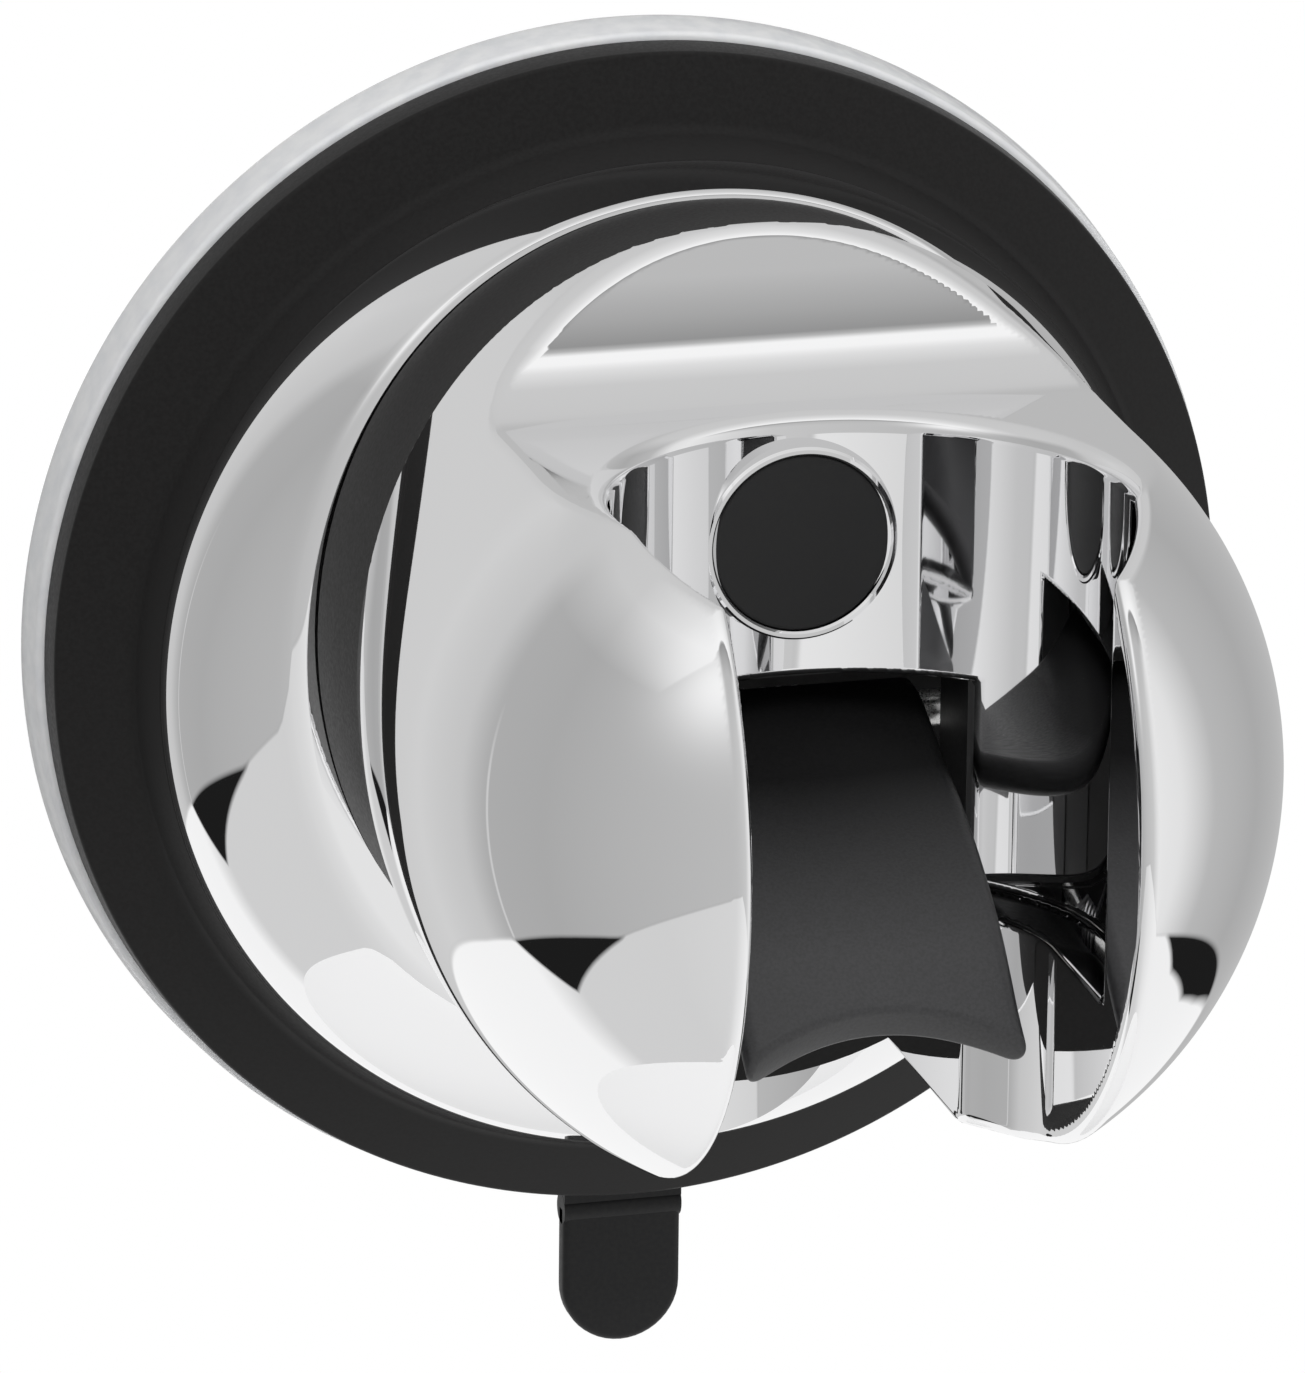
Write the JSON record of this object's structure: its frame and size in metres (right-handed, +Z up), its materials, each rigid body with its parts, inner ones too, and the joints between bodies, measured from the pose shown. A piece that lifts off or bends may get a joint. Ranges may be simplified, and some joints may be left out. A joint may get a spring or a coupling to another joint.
{
  "type": "suction hand shower holder",
  "caption": "Round twist-lock suction base with a chrome ball-shaped cradle for a hand shower, slotted at the front, with a sprung black grip tongue and a pull tab to let air in",
  "frame": {"origin": "centre of the suction pad on the wall plane", "axes": "+X to the right seen from the front, +Y into the wall, +Z up"},
  "size_m": [0.0866, 0.0817, 0.0982],
  "materials": {
    "chrome": "bright chrome plate on ABS, mirror smooth",
    "black_ring": "fine-grained satin black ABS",
    "black_soft": "soft-touch black moulding with a fine grain",
    "black_cap": "satin black plastic",
    "pad_gel": "milky translucent soft gel",
    "tab_black": "satin black flexible plastic",
    "slide_plastic": "natural low-friction plastic",
    "inner_plastic": "dark grey glass-filled plastic",
    "steel": "bright stainless steel",
    "spring_steel": "drawn stainless spring wire",
    "brass": "turned brass"
  },
  "bodies": {
    "base": {"suction_pad": "pad_gel", "pad_diaphragm": "pad_gel", "tab_anchor": "tab_black", "base_plate": "black_ring", "rim_seal": "slide_plastic", "stop_pin": "steel", "thrust_washer": "slide_plastic"},
    "tab": {"release_tab": "tab_black"},
    "puller": {"pad_core": "inner_plastic", "draw_bar": "steel", "cross_pin": "steel", "return_spring": "spring_steel"},
    "turret": {"cam_ring": "slide_plastic", "dome_shell": "chrome", "turret_frame": "inner_plastic", "neck_collar": "black_ring", "neck_gasket": "black_soft", "frame_screws": "steel", "holder_body": "chrome", "main_screw": "steel", "screw_washer": "steel", "screw_plug": "black_cap", "insert_nut": "brass", "tongue_pin": "steel", "pin_clips": "steel"},
    "tongue": {"grip_tongue": "black_soft", "tongue_spring": "spring_steel"}
  },
  "joints": [
    {"name": "twist_lock", "type": "hinge", "parent": "base", "child": "turret", "pos_m": [0, 0, 0], "axis": [0, -1, 0], "range_deg": [0, 90]},
    {"name": "pad_draw", "type": "slide", "parent": "base", "child": "puller", "axis": [0, 1, 0], "range_m": [0, 0.0026], "deforming": ["return_spring", "pad_diaphragm"]},
    {"name": "tongue_tilt", "type": "hinge", "parent": "turret", "child": "tongue", "pos_m": [0, -0.0404, 0.0046], "axis": [1, 0, 0], "range_deg": [0, 14], "stiffness_Nm_per_rad": 0.15, "springref_deg": -17.19, "deforming": ["tongue_spring"]},
    {"name": "tab_pull", "type": "hinge", "parent": "base", "child": "tab", "pos_m": [0, -0.0022, -0.0446], "axis": [-1, 0, 0], "range_deg": [0, 45], "stiffness_Nm_per_rad": 0.003}
  ],
  "couplings": [
    {"joint": "pad_draw", "follows": "twist_lock", "m_per_rad": 0.001655}
  ]
}
